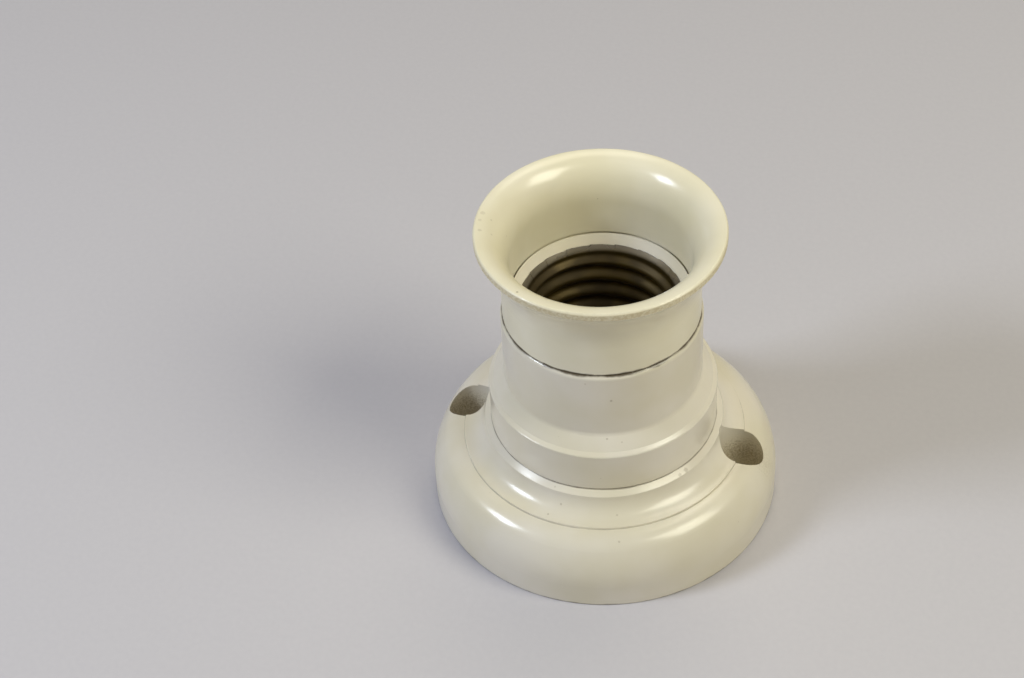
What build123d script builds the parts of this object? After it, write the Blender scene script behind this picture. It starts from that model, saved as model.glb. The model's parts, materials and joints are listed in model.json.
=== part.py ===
from build123d import *
import os
from math import cos, radians, sin, sqrt, tan

# Batten lamp holder: a screw-ring holder that stands on a round base, for a 27 mm Edison screw lamp.
# Origin: centre of the base's back face. +Z: the way the lamp unscrews. X: the line of the two fixing holes.
# All sizes are in millimetres.

# Widths, from the lamp's thread outwards: each ring of material sits outside the one before it
THREAD_MAJOR_D = 26.6
SHELL_WALL = 0.35
SPIGOT_WALL = 1.75
SKIRT_WALL = 1.05
NECK_PROUD = 0.4
SHOULDER_W = 2.76
LEDGE_W = 1.14
COVE_W = 3.9
DOME_W = 6.0

# Mounting base, outside
BASE_WALL_H = 4.7
DOME_R = 11.0
DOME_TURN = 38.0
STEP_Z = 13.3
STEP_RISE = 0.35
STEP_DRAFT = 0.1
COVE_H = 3.55
LEDGE_RISE = 0.8
LEDGE_ROUND = 0.2

# Mounting base, inside
BASE_WALL = 2.6
COLLAR_WALL = 1.7
COLLAR_H = 6.8
FLOOR_T = 2.5
FLOOR_DROP = 3.0
CABLE_HOLE_D = 10.0

# Fixing holes
FIXING_CENTRES = 50.8
FIXING_HOLE_D = 4.4
FIXING_HEAD_D = 8.1
FIXING_SEAT_Z = 4.2
FIXING_BOSS_WALL = 1.7

# Body cover
BODY_WALL = 1.95
BODY_WALL_H = 8.05
SHOULDER_RISE = 2.95
SHOULDER_RIM_W = 0.8
SHOULDER_RIM_RISE = 0.5
SHOULDER_ROUND = 0.3
SHOULDER_COVE_R = 1.2
NECK_H = 13.7
NECK_ROUND = 0.9
SPIGOT_H = 3.1
SPIGOT_RIM_W = 0.15
CHAMBER_H = 8.4

# Skirt ring
SKIRT_STRAIGHT_H = 6.3
SKIRT_H = 17.7
FLARE_W = 4.1
LIP_H = 1.4
LIP_FLAT_W = 0.45
LIP_ROUND = 0.4
BELL_DEPTH = 7.5

# Screw shell, 27 mm Edison thread
THREAD_PITCH = 3.629
ROLL_DEPTH = 1.1
THREAD_CRESTS = 4
THREAD_LAND = 0.9
THREAD_LEAD = 2.9
MOUTH_FLARE_W = 0.7
MOUTH_SLOPE = 55.0
SHELL_TAB_W = 5.0
SHELL_TAB_L = 1.9
SHELL_TABS = 4

# Contact block, a disc of steatite
BLOCK_T = 5.2
BLOCK_CHANNEL_X = 19.5
BLOCK_CHANNEL_Y = 14.0
BLOCK_CHANNEL_H = 2.0
BLOCK_CHANNEL_SHIFT = -1.5
BARRIER_T = 1.3
BARRIER_H = 2.5
BARRIER_L = 20.0
WIRE_HOLE_D = 3.6
WIRE_HOLE_X = 8.2
WIRE_HOLE_Y = -6.4

# Screws that hold the block to the base
BLOCK_SCREW_INSET = 3.75
BLOCK_SCREW_D = 2.9
BLOCK_SCREW_HEAD_D = 5.5
BLOCK_SCREW_HEAD_H = 1.8
BLOCK_SCREW_SINK = 2.6
BLOCK_WASHER_D = 6.4
BLOCK_WASHER_T = 0.5
NUT_ACROSS_FLATS = 5.5
NUT_T = 2.4
NUT_BOSS_WALL = 1.6

# Terminals and contacts
PLATE_T = 0.8
PLATE_W = 8.0
PLATE_INSET = 1.75
PLATE_LAP = 1.6
LIVE_CLAMP_INSET = 3.61
CLAMP_SCREW_D = 3.4
CLAMP_HEAD_D = 5.6
CLAMP_HEAD_H = 2.0
CLAMP_SHANK_L = 3.9
CLAMP_WASHER_W = 6.0
CLAMP_WASHER_T = 0.8
STRIP_T = 0.4
STRIP_W = 5.0
NEUTRAL_RIVET_INSET = 1.3
RIVET_D = 1.9
RIVET_HEAD_D = 2.6
RIVET_HEAD_H = 0.5
CONTACT_RISE = 2.6
SLOT_W = 0.8
SLOT_DEPTH = 0.9

# Clearances. A moulded thread's depth stays open between its two plain walls.
THREAD_DEPTH = 0.5
THREAD_GAP = 0.1
PART_GAP = 0.15
STRIP_GAP = 0.2
SCREW_GAP = 0.05
HOLE_GAP = 0.25
EDGE_BREAK = 0.25

# Radii that follow from the widths
SHELL_R = THREAD_MAJOR_D / 2 + SHELL_WALL
SHELL_BORE_R = SHELL_R + PART_GAP
SPIGOT_R = SHELL_BORE_R + SPIGOT_WALL
SKIRT_BORE_R = SPIGOT_R + PART_GAP
SKIRT_THREAD_R = SPIGOT_R + THREAD_DEPTH + THREAD_GAP
SKIRT_R = SKIRT_THREAD_R + SKIRT_WALL
LIP_R = SKIRT_R + FLARE_W
NECK_R = SKIRT_R + NECK_PROUD
BODY_R = NECK_R + SHOULDER_W
BODY_BORE_R = BODY_R - BODY_WALL
COLLAR_R = BODY_BORE_R - THREAD_DEPTH - THREAD_GAP
COLLAR_BORE_R = COLLAR_R - COLLAR_WALL
BLOCK_R = COLLAR_BORE_R - PART_GAP
LEDGE_R = BODY_R + LEDGE_W
STEP_R = LEDGE_R + COVE_W + STEP_DRAFT
BASE_R = STEP_R + DOME_W

# Heights that follow, from the back face upwards
LEDGE_Z = STEP_Z + STEP_RISE + COVE_H + LEDGE_RISE
COLLAR_TOP_Z = LEDGE_Z + COLLAR_H
FLOOR_TOP_Z = LEDGE_Z - FLOOR_DROP
BLOCK_TOP_Z = FLOOR_TOP_Z + BLOCK_T
PLATE_TOP_Z = BLOCK_TOP_Z + PLATE_T
CHAMBER_ROOF_Z = LEDGE_Z + CHAMBER_H
SHOULDER_TOP_Z = LEDGE_Z + BODY_WALL_H + SHOULDER_RISE
NECK_TOP_Z = SHOULDER_TOP_Z + NECK_H
SPIGOT_TOP_Z = NECK_TOP_Z + SPIGOT_H
SKIRT_TOP_Z = NECK_TOP_Z + SKIRT_H

# The cone at the spigot's mouth, on which the shell's flared mouth lies
MOUTH_RISE = tan(radians(MOUTH_SLOPE))
MOUTH_FOOT_Z = SPIGOT_TOP_Z - (SPIGOT_WALL - SPIGOT_RIM_W) * MOUTH_RISE
SHELL_TOP_Z = MOUTH_FOOT_Z + MOUTH_FLARE_W * MOUTH_RISE
THREAD_TOP_Z = SHELL_TOP_Z - THREAD_LEAD

# Places on the contact block
BLOCK_SCREW_Y = BLOCK_R - BLOCK_SCREW_INSET
PLATE_END_X = BLOCK_R - PLATE_INSET
RIVET_TO_CLAMP = (CLAMP_WASHER_W + RIVET_HEAD_D) / 2 + STRIP_GAP
LIVE_CLAMP_X = PLATE_END_X - LIVE_CLAMP_INSET
LIVE_RIVET_X = LIVE_CLAMP_X - RIVET_TO_CLAMP
NEUTRAL_RIVET_X = NEUTRAL_RIVET_INSET - PLATE_END_X
NEUTRAL_CLAMP_X = NEUTRAL_RIVET_X + RIVET_TO_CLAMP
LIVE_PLATE_START_X = LIVE_RIVET_X - PLATE_LAP
NEUTRAL_PLATE_START_X = NEUTRAL_CLAMP_X + CLAMP_WASHER_W / 2 + PART_GAP
BARRIER_X = NEUTRAL_PLATE_START_X + BARRIER_T / 2 + HOLE_GAP


def turned(face):
    """Flat outline of radius and height, revolved about Z."""
    return revolve(Plane.XZ * face, axis=Axis.Z)


def ring(outer_r, inner_r, z_low, z_high):
    """Plain ring with a square section."""
    return Pos(0, 0, z_low) * extrude(Circle(outer_r) - Circle(inner_r), z_high - z_low)


def rod(x, y, radius, z_low, z_high):
    """Upright round rod, also used to cut a hole."""
    return Pos(x, y, z_low) * extrude(Circle(radius), z_high - z_low)


def block(x_low, x_high, y_low, y_high, z_low, z_high):
    """Rectangular block between its two corners."""
    size = (x_high - x_low, y_high - y_low, z_high - z_low)
    centre = ((x_high + x_low) / 2, (y_high + y_low) / 2, (z_high + z_low) / 2)
    return Pos(*centre) * Box(*size)


def path_face(points):
    """Face inside a closed run of straight lines."""
    return make_face(Polyline(*points, close=True))


def rounded(face, corners):
    """Round chosen corners of a flat outline, each given as a point and a radius."""
    for point, radius in corners:
        corner = face.vertices().sort_by_distance(Vector(*point))[0]
        face = fillet(corner, radius)
    return face


def dome_edges(radius, wall_h, dome_r, end_r, end_z):
    """Upright wall, then two arcs that turn inwards to the end point."""
    turn = radians(DOME_TURN)
    knee = (radius - dome_r + dome_r * cos(turn), wall_h + dome_r * sin(turn))
    wall = Line((radius, 0), (radius, wall_h))
    side = TangentArc((radius, wall_h), knee, tangent=(0, 1))
    top = TangentArc(knee, (end_r, end_z), tangent=(-sin(turn), cos(turn)))
    return [wall, side, top]


def base_outside():
    """Outer form of the base, filled: dome, step, cove, ledge and threaded collar."""
    cove_foot = (STEP_R - STEP_DRAFT, STEP_Z + STEP_RISE)
    cove_top = (LEDGE_R, LEDGE_Z - LEDGE_RISE)
    edges = dome_edges(BASE_R, BASE_WALL_H, DOME_R, STEP_R, STEP_Z)
    edges += [
        Line((STEP_R, STEP_Z), cove_foot),
        TangentArc(cove_foot, cove_top, tangent=(-1, 0)),
        Line(cove_top, (BODY_R, LEDGE_Z)),
        Line((BODY_R, LEDGE_Z), (COLLAR_R, LEDGE_Z)),
        Line((COLLAR_R, LEDGE_Z), (COLLAR_R, COLLAR_TOP_Z)),
        Line((COLLAR_R, COLLAR_TOP_Z), (0, COLLAR_TOP_Z)),
        Line((0, COLLAR_TOP_Z), (0, 0)),
        Line((0, 0), (BASE_R, 0)),
    ]
    face = rounded(make_face(edges), [
        (cove_top, LEDGE_ROUND),
        ((COLLAR_R, COLLAR_TOP_Z), EDGE_BREAK),
        ((BASE_R, 0), EDGE_BREAK),
    ])
    return turned(face)


def base_hollow():
    """Space under the base, one wall inside its outer form."""
    inner_r = BASE_R - BASE_WALL
    roof_z = FLOOR_TOP_Z - FLOOR_T
    face = path_face([
        (0, 0), (inner_r, 0), (inner_r, BASE_WALL_H),
        (STEP_R, STEP_Z - BASE_WALL), (LEDGE_R, roof_z), (0, roof_z),
    ])
    face = rounded(face, [((inner_r, BASE_WALL_H), DOME_R / 2)])
    return turned(face)


def fixing_places():
    """The two fixing holes, on the X axis."""
    return [(-FIXING_CENTRES / 2, 0), (FIXING_CENTRES / 2, 0)]


def block_screw_places():
    """The two screws that hold the contact block, on the Y axis."""
    return [(0, -BLOCK_SCREW_Y), (0, BLOCK_SCREW_Y)]


def hexagon(across_flats):
    """Hexagon with two flats along X."""
    return RegularPolygon(across_flats / 2, 6, major_radius=False)


def mounting_base():
    """Moulded base: hollow underneath, with a threaded collar, a floor and four bosses."""
    outside = base_outside()
    roof_z = FLOOR_TOP_Z - FLOOR_T
    solid = outside - base_hollow()
    solid -= rod(0, 0, COLLAR_BORE_R, FLOOR_TOP_Z, COLLAR_TOP_Z)
    boss_r = FIXING_HEAD_D / 2 + FIXING_BOSS_WALL
    for x, y in fixing_places():
        solid += rod(x, y, boss_r, 0, STEP_Z) & outside
    nut_r = NUT_ACROSS_FLATS / sqrt(3) + NUT_BOSS_WALL
    for x, y in block_screw_places():
        solid += rod(x, y, nut_r, roof_z - NUT_T, roof_z)
    for x, y in fixing_places():
        solid -= rod(x, y, FIXING_HOLE_D / 2, 0, STEP_Z)
        solid -= rod(x, y, FIXING_HEAD_D / 2, FIXING_SEAT_Z, LEDGE_Z)
    for x, y in block_screw_places():
        solid -= rod(x, y, BLOCK_SCREW_D / 2 + HOLE_GAP, roof_z, FLOOR_TOP_Z)
        pocket = extrude(hexagon(NUT_ACROSS_FLATS + HOLE_GAP), NUT_T)
        solid -= Pos(x, y, roof_z - NUT_T) * pocket
    solid -= rod(0, 0, CABLE_HOLE_D / 2, roof_z, FLOOR_TOP_Z)
    return solid


def contact_block():
    """Steatite disc that carries the contacts, with a barrier, wire holes and a channel beneath."""
    solid = rod(0, 0, BLOCK_R, FLOOR_TOP_Z, BLOCK_TOP_Z)
    solid += block(BARRIER_X - BARRIER_T / 2, BARRIER_X + BARRIER_T / 2,
                   -BARRIER_L / 2, BARRIER_L / 2, BLOCK_TOP_Z, BLOCK_TOP_Z + BARRIER_H)
    channel_y = BLOCK_CHANNEL_SHIFT
    solid -= block(-BLOCK_CHANNEL_X / 2, BLOCK_CHANNEL_X / 2,
                   channel_y - BLOCK_CHANNEL_Y / 2, channel_y + BLOCK_CHANNEL_Y / 2,
                   FLOOR_TOP_Z, FLOOR_TOP_Z + BLOCK_CHANNEL_H)
    for x in (-WIRE_HOLE_X, WIRE_HOLE_X):
        solid -= rod(x, WIRE_HOLE_Y, WIRE_HOLE_D / 2, FLOOR_TOP_Z, BLOCK_TOP_Z)
    seat_z = BLOCK_TOP_Z - BLOCK_SCREW_SINK
    for x, y in block_screw_places():
        solid -= rod(x, y, BLOCK_SCREW_D / 2 + HOLE_GAP, FLOOR_TOP_Z, seat_z)
        solid -= rod(x, y, BLOCK_WASHER_D / 2 + HOLE_GAP, seat_z, BLOCK_TOP_Z)
    for x in (LIVE_CLAMP_X, NEUTRAL_CLAMP_X):
        hole_z = PLATE_TOP_Z + CLAMP_WASHER_T - CLAMP_SHANK_L - HOLE_GAP
        solid -= rod(x, 0, CLAMP_SCREW_D / 2 + HOLE_GAP, hole_z, BLOCK_TOP_Z)
    for x in (LIVE_RIVET_X, NEUTRAL_RIVET_X):
        solid -= rod(x, 0, RIVET_D / 2 + SCREW_GAP, FLOOR_TOP_Z, BLOCK_TOP_Z)
        solid -= rod(x, 0, RIVET_HEAD_D / 2 + HOLE_GAP, FLOOR_TOP_Z, FLOOR_TOP_Z + BLOCK_CHANNEL_H)
    return solid


def headed_screw(x, y, head_z, head_d, head_h, shank_d, shank_l):
    """Slotted cheese-head screw standing on the height head_z."""
    head = rod(x, y, head_d / 2, head_z, head_z + head_h)
    rim = head.edges().filter_by(GeomType.CIRCLE).sort_by(Axis.Z)[-1]
    head = fillet(rim, EDGE_BREAK)
    screw = head + rod(x, y, shank_d / 2, head_z - shank_l, head_z)
    top = head_z + head_h
    return screw - block(x - head_d, x + head_d, y - SLOT_W / 2, y + SLOT_W / 2, top - SLOT_DEPTH, top)


def block_screw(place):
    """Screw through the contact block and the base's floor into its nut."""
    x, y = place
    head_z = BLOCK_TOP_Z - BLOCK_SCREW_SINK + BLOCK_WASHER_T
    shank_l = head_z - (FLOOR_TOP_Z - FLOOR_T - NUT_T)
    return headed_screw(x, y, head_z, BLOCK_SCREW_HEAD_D, BLOCK_SCREW_HEAD_H, BLOCK_SCREW_D, shank_l)


def block_washer(place):
    """Plain washer between the screw's head and the steatite."""
    x, y = place
    seat_z = BLOCK_TOP_Z - BLOCK_SCREW_SINK
    return Pos(x, y, 0) * ring(BLOCK_WASHER_D / 2, BLOCK_SCREW_D / 2 + SCREW_GAP,
                               seat_z, seat_z + BLOCK_WASHER_T)


def block_nut(place):
    """Hexagon nut held in its pocket under the floor."""
    x, y = place
    roof_z = FLOOR_TOP_Z - FLOOR_T
    nut = extrude(hexagon(NUT_ACROSS_FLATS) - Circle(BLOCK_SCREW_D / 2 + SCREW_GAP), NUT_T)
    return Pos(x, y, roof_z - NUT_T) * nut


def terminal_plate(span, clamp_x, rivet_x):
    """Brass plate on the block, with a tapped hole, a rivet hole and a rounded outer end."""
    plate = block(span[0], span[1], -PLATE_W / 2, PLATE_W / 2, BLOCK_TOP_Z, PLATE_TOP_Z)
    outer_x = max(span, key=abs)
    corners = plate.edges().filter_by(Axis.Z).group_by(Axis.X)[-1 if outer_x > 0 else 0]
    plate = fillet(corners, PLATE_W / 4)
    plate -= rod(clamp_x, 0, CLAMP_SCREW_D / 2 + SCREW_GAP, BLOCK_TOP_Z, PLATE_TOP_Z)
    return plate - rod(rivet_x, 0, RIVET_D / 2 + SCREW_GAP, BLOCK_TOP_Z, PLATE_TOP_Z)


def clamp_washer(x):
    """Square washer that presses the wire on its plate."""
    half = CLAMP_WASHER_W / 2
    top = PLATE_TOP_Z + CLAMP_WASHER_T
    washer = block(x - half, x + half, -half, half, PLATE_TOP_Z, top)
    washer = fillet(washer.edges().filter_by(Axis.Z), EDGE_BREAK)
    return washer - rod(x, 0, CLAMP_SCREW_D / 2 + SCREW_GAP, PLATE_TOP_Z, top)


def clamp_screw(x):
    """Terminal screw that clamps the wire."""
    head_z = PLATE_TOP_Z + CLAMP_WASHER_T
    return headed_screw(x, 0, head_z, CLAMP_HEAD_D, CLAMP_HEAD_H, CLAMP_SCREW_D, CLAMP_SHANK_L)


def bent_strip(points, bend_r):
    """Strip of even thickness that follows a bent line in the XZ plane."""
    line = FilletPolyline(*points, radius=bend_r)
    face = Plane.XZ * trace(line, STRIP_T)
    return extrude(face, STRIP_W / 2, both=True)


def centre_contact():
    """Springy tongue from the live plate to the middle of the socket."""
    foot_z = PLATE_TOP_Z + STRIP_T / 2
    crest_z = PLATE_TOP_Z + CONTACT_RISE - STRIP_T / 2
    reach = LIVE_RIVET_X + RIVET_HEAD_D / 2
    strip = bent_strip([
        (reach, foot_z), (LIVE_RIVET_X - RIVET_HEAD_D / 2 - STRIP_T, foot_z),
        (LIVE_RIVET_X / 3, crest_z), (-LIVE_RIVET_X / 6, crest_z),
        (-LIVE_RIVET_X / 2, crest_z - 2 * STRIP_T),
    ], 2 * STRIP_T)
    return strip - rod(LIVE_RIVET_X, 0, RIVET_D / 2 + SCREW_GAP, PLATE_TOP_Z, PLATE_TOP_Z + STRIP_T)


def shell_contact():
    """Bent arm from the neutral plate up to a tab of the screw shell."""
    foot_z = PLATE_TOP_Z + STRIP_T / 2
    top_z = CHAMBER_ROOF_Z - SHELL_WALL - STRIP_T / 2
    wall_x = -(COLLAR_BORE_R - 3 * STRIP_T)
    finger_x = -SHELL_R
    strip = bent_strip([
        (NEUTRAL_RIVET_X + RIVET_HEAD_D / 2, foot_z), (wall_x, foot_z),
        (wall_x, top_z), (finger_x, top_z),
    ], 1.5 * STRIP_T)
    return strip - rod(NEUTRAL_RIVET_X, 0, RIVET_D / 2 + SCREW_GAP, PLATE_TOP_Z, PLATE_TOP_Z + STRIP_T)


def rivet(x):
    """Rivet through the strip, its plate and the block, with a head at each end."""
    top = PLATE_TOP_Z + STRIP_T
    under = FLOOR_TOP_Z + BLOCK_CHANNEL_H
    solid = rod(x, 0, RIVET_D / 2, under, top)
    solid += rod(x, 0, RIVET_HEAD_D / 2, top, top + RIVET_HEAD_H)
    return solid + rod(x, 0, RIVET_HEAD_D / 2, under - RIVET_HEAD_H, under)


def body_cover():
    """Moulded body: threaded inside its foot, with a shoulder, a neck and a threaded spigot."""
    wall_top_z = LEDGE_Z + BODY_WALL_H
    face = path_face([
        (BODY_BORE_R, LEDGE_Z), (BODY_R, LEDGE_Z), (BODY_R, wall_top_z),
        (BODY_R - SHOULDER_RIM_W, wall_top_z + SHOULDER_RIM_RISE),
        (NECK_R, SHOULDER_TOP_Z), (NECK_R, NECK_TOP_Z), (SPIGOT_R, NECK_TOP_Z),
        (SPIGOT_R, SPIGOT_TOP_Z), (SPIGOT_R - SPIGOT_RIM_W, SPIGOT_TOP_Z),
        (SHELL_BORE_R, MOUTH_FOOT_Z), (SHELL_BORE_R, CHAMBER_ROOF_Z), (BODY_BORE_R, CHAMBER_ROOF_Z),
    ])
    face = rounded(face, [
        ((BODY_R, LEDGE_Z), EDGE_BREAK),
        ((BODY_R, wall_top_z), SHOULDER_ROUND),
        ((NECK_R, SHOULDER_TOP_Z), SHOULDER_COVE_R),
        ((NECK_R, NECK_TOP_Z), NECK_ROUND),
    ])
    return turned(face)


def thread_points(offset):
    """Rolled thread's section from top to bottom, moved outwards by an offset."""
    root_r = THREAD_MAJOR_D / 2 + offset
    crest_r = root_r - ROLL_DEPTH
    half_land = THREAD_LAND / 2
    half_pitch = THREAD_PITCH / 2
    points = []
    for turn in range(THREAD_CRESTS):
        z = THREAD_TOP_Z - turn * THREAD_PITCH
        points += [
            (root_r, z + half_pitch - half_land), (crest_r, z + half_land),
            (crest_r, z - half_land), (root_r, z - half_pitch + half_land),
        ]
    return points


def screw_shell():
    """Rolled shell: a flared mouth, the lamp's thread and tabs clinched out under the body's roof."""
    low_z = CHAMBER_ROOF_Z - SHELL_WALL
    foot_z = MOUTH_FOOT_Z - (PART_GAP - SCREW_GAP) * MOUTH_RISE
    inner_r = THREAD_MAJOR_D / 2
    flare = (SHELL_TOP_Z - foot_z) / MOUTH_RISE
    inside = [(inner_r + flare, SHELL_TOP_Z), (inner_r, foot_z)] + thread_points(0) + [(inner_r, low_z)]
    outside = [(SHELL_R + flare, SHELL_TOP_Z), (SHELL_R, foot_z)] + thread_points(SHELL_WALL)
    outside.append((SHELL_R, low_z))
    shell = turned(path_face(inside + outside[::-1]))
    tab = block(inner_r, SHELL_R + SHELL_TAB_L, -SHELL_TAB_W / 2, SHELL_TAB_W / 2, low_z, CHAMBER_ROOF_Z)
    tab -= rod(0, 0, inner_r, low_z, CHAMBER_ROOF_Z)
    for turn in range(SHELL_TABS):
        shell += Rot(0, 0, turn * 360 / SHELL_TABS) * tab
    return shell


def skirt_ring():
    """Flared ring: threaded foot, a swept-out side, an upright lip and a bell mouth."""
    sweep_z = NECK_TOP_Z + SKIRT_STRAIGHT_H
    lip_z = SKIRT_TOP_Z - LIP_H
    bell_z = SKIRT_TOP_Z - BELL_DEPTH
    bell_r = LIP_R - LIP_FLAT_W
    thread_top_z = SPIGOT_TOP_Z + HOLE_GAP
    edges = [
        Line((SKIRT_THREAD_R, NECK_TOP_Z), (SKIRT_R, NECK_TOP_Z)),
        Line((SKIRT_R, NECK_TOP_Z), (SKIRT_R, sweep_z)),
        TangentArc((SKIRT_R, sweep_z), (LIP_R, lip_z), tangent=(0, 1)),
        Line((LIP_R, lip_z), (LIP_R, SKIRT_TOP_Z)),
        Line((LIP_R, SKIRT_TOP_Z), (bell_r, SKIRT_TOP_Z)),
        EllipticalCenterArc((bell_r, bell_z), bell_r - SKIRT_BORE_R, BELL_DEPTH, 90, arc_size=90),
        Line((SKIRT_BORE_R, bell_z), (SKIRT_BORE_R, thread_top_z)),
        Line((SKIRT_BORE_R, thread_top_z), (SKIRT_THREAD_R, thread_top_z)),
        Line((SKIRT_THREAD_R, thread_top_z), (SKIRT_THREAD_R, NECK_TOP_Z)),
    ]
    face = rounded(make_face(edges), [
        ((SKIRT_R, NECK_TOP_Z), EDGE_BREAK),
        ((LIP_R, lip_z), LIP_ROUND),
        ((LIP_R, SKIRT_TOP_Z), LIP_ROUND),
    ])
    return turned(face)


def build():
    """Every node of the lamp holder, by name."""
    first, second = block_screw_places()
    return {
        "mounting_base": mounting_base(),
        "contact_block": contact_block(),
        "block_screw_1": block_screw(first),
        "block_screw_2": block_screw(second),
        "block_washer_1": block_washer(first),
        "block_washer_2": block_washer(second),
        "block_nut_1": block_nut(first),
        "block_nut_2": block_nut(second),
        "live_terminal": terminal_plate((LIVE_PLATE_START_X, PLATE_END_X), LIVE_CLAMP_X, LIVE_RIVET_X),
        "neutral_terminal": terminal_plate((-PLATE_END_X, NEUTRAL_PLATE_START_X),
                                           NEUTRAL_CLAMP_X, NEUTRAL_RIVET_X),
        "live_clamp_washer": clamp_washer(LIVE_CLAMP_X),
        "neutral_clamp_washer": clamp_washer(NEUTRAL_CLAMP_X),
        "live_clamp_screw": clamp_screw(LIVE_CLAMP_X),
        "neutral_clamp_screw": clamp_screw(NEUTRAL_CLAMP_X),
        "centre_contact": centre_contact(),
        "shell_contact": shell_contact(),
        "centre_contact_rivet": rivet(LIVE_RIVET_X),
        "shell_contact_rivet": rivet(NEUTRAL_RIVET_X),
        "body_cover": body_cover(),
        "screw_shell": screw_shell(),
        "skirt_ring": skirt_ring(),
    }


os.makedirs("parts", exist_ok=True)
for name, shape in build().items():
    export_step(shape, f"parts/{name}.step")
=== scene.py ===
"""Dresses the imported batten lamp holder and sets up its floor, lights and camera.

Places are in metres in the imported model's own frame: the origin is the centre of the base's back face, +Z
is the way the lamp unscrews, and the two fixing holes lie along X. Sizes that a maker would write in
millimetres are named with _mm.
"""

import json
import logging
import math
from collections.abc import Callable, Iterable
from dataclasses import dataclass, field
from enum import Enum

import bpy
from mathutils import Euler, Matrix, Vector


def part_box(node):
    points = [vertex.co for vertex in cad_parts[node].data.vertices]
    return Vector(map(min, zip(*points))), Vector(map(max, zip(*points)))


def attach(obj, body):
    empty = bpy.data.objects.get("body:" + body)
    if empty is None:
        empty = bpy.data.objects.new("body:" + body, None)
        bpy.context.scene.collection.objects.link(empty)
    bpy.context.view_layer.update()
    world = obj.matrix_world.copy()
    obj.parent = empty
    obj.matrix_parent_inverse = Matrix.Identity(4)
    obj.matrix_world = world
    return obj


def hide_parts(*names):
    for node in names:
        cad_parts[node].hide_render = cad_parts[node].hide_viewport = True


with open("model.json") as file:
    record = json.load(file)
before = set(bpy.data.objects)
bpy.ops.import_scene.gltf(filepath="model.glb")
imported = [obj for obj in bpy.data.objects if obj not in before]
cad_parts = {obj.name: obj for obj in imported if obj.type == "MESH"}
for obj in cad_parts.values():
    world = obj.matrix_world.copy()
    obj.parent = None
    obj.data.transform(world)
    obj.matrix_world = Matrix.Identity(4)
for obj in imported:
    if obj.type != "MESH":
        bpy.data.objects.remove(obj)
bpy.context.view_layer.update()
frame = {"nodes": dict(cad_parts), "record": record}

log = logging.getLogger("lamp_holder")
logging.basicConfig(level=logging.INFO, format="%(name)s: %(message)s")

MM = 0.001
MERGE_MM = 0.001

# Node kinds and settings that several finishes share
MATH = "ShaderNodeMath"
VECTOR = "ShaderNodeVectorMath"
NOISE = "ShaderNodeTexNoise"
SPREAD = "ShaderNodeMapRange"
MIX = "ShaderNodeMix"
SUM = {"operation": "ADD"}
PRODUCT = {"operation": "MULTIPLY"}
LARGER = {"operation": "MAXIMUM"}
SMOOTH = {"interpolation_type": "SMOOTHSTEP"}
COLOURS = {"data_type": "RGBA"}

# Numbers of the sockets for a range's limits, and for a mix's share and its two colours
FROM_LOW, FROM_HIGH, TO_LOW, TO_HIGH = 1, 2, 3, 4
SHARE, UNDER, OVER = 0, 6, 7


class Side(Enum):
    """Which way a thread stands out of its wall."""

    OUTWARD = 1
    INWARD = -1


def linear(hex_colour: str) -> tuple[float, float, float, float]:
    """Turn an sRGB hex colour into the linear values that Blender's sockets take.

    Args:
        hex_colour: Six hex digits with or without a leading hash.

    Returns:
        Linear red, green and blue, and an alpha of 1.
    """
    digits = hex_colour.lstrip("#")
    channels = [int(digits[i:i + 2], 16) / 255 for i in (0, 2, 4)]
    # The standard sRGB curve: a straight foot, then a power
    spread = [c / 12.92 if c <= 0.04045 else ((c + 0.055) / 1.055) ** 2.4 for c in channels]
    return (*spread, 1.0)


def add_node(tree: bpy.types.NodeTree, kind: str, settings: dict | None = None,
             inputs: dict | None = None) -> bpy.types.Node:
    """Add a node with its settings, and set or link its inputs.

    Args:
        tree: The node tree that gets the node.
        kind: The node's type name.
        settings: Values by property name.
        inputs: Values, sockets, or nodes whose first output is meant, by input name or number.

    Returns:
        The new node.
    """
    node = tree.nodes.new(kind)
    for name, value in (settings or {}).items():
        setattr(node, name, value)
    for name, value in (inputs or {}).items():
        if isinstance(value, bpy.types.Node):
            value = next(socket for socket in value.outputs if socket.enabled)
        if isinstance(value, bpy.types.NodeSocket):
            tree.links.new(value, node.inputs[name])
        else:
            node.inputs[name].default_value = value
    return node


def new_tree(name: str) -> tuple[bpy.types.Material, bpy.types.NodeTree]:
    """Make an empty node material.

    Args:
        name: The material's name.

    Returns:
        The material and its node tree.
    """
    material = bpy.data.materials.new(name)
    material.use_nodes = True
    material.node_tree.nodes.clear()
    return material, material.node_tree


def millimetre_coordinates(tree: bpy.types.NodeTree) -> bpy.types.NodeSocket:
    """Give a material the piece's own coordinates, counted in millimetres.

    Args:
        tree: The material's node tree.

    Returns:
        The socket that holds them.
    """
    place = add_node(tree, "ShaderNodeTexCoord")
    scaled = add_node(tree, VECTOR, {"operation": "SCALE"}, {0: place.outputs["Object"], "Scale": 1 / MM})
    return scaled.outputs[0]


def turned_coordinates(tree: bpy.types.NodeTree, place: bpy.types.NodeSocket) -> bpy.types.NodeSocket:
    """Give the distance from the lamp's axis and the height, so that a pattern runs round the holder.

    Args:
        tree: The material's node tree.
        place: Coordinates in millimetres.

    Returns:
        A vector of radius, height and nothing, in millimetres.
    """
    apart = add_node(tree, "ShaderNodeSeparateXYZ", None, {0: place})
    flat = add_node(tree, "ShaderNodeCombineXYZ", None, {0: apart.outputs[0], 1: apart.outputs[1]})
    radius = add_node(tree, VECTOR, {"operation": "LENGTH"}, {0: flat.outputs[0]})
    return add_node(tree, "ShaderNodeCombineXYZ", None,
                    {0: radius.outputs["Value"], 1: apart.outputs[2]}).outputs[0]


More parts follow.
